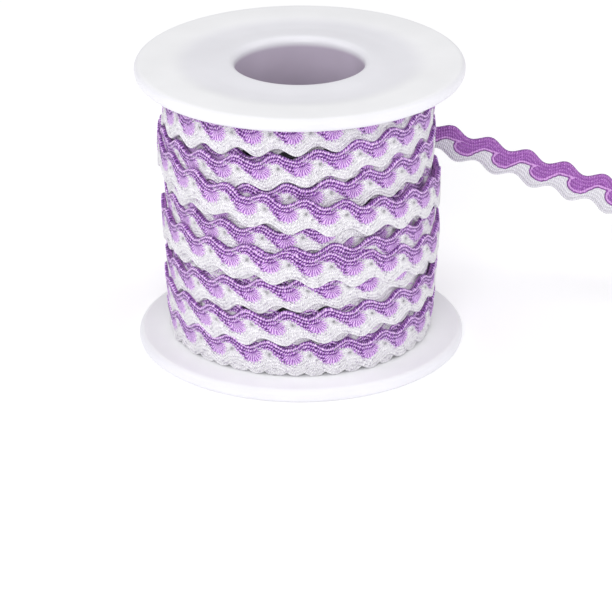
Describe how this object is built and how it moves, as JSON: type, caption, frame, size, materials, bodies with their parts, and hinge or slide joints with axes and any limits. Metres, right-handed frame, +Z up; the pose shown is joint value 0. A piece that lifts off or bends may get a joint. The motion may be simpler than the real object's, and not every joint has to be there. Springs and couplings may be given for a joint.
{
  "type": "roll of ric rac on a spool",
  "caption": "Wavy two-tone ric rac braid wound on a white plastic spool, standing on its flange, with a loose end reaching out to the side.",
  "frame": {"origin": "centre of the flat rim face that the spool stands on", "axes": "+Z up along the spool's bore, +X towards the side where the loose end reaches out, -Y towards the front of the drum"},
  "size_m": [0.1515, 0.066, 0.06],
  "materials": {
    "white_plastic": "satin",
    "lilac_braid": "matte"
  },
  "bodies": {
    "root": {"spool": "white_plastic", "wound_ric_rac": "lilac_braid", "loose_end": "lilac_braid"}
  },
  "joints": []
}
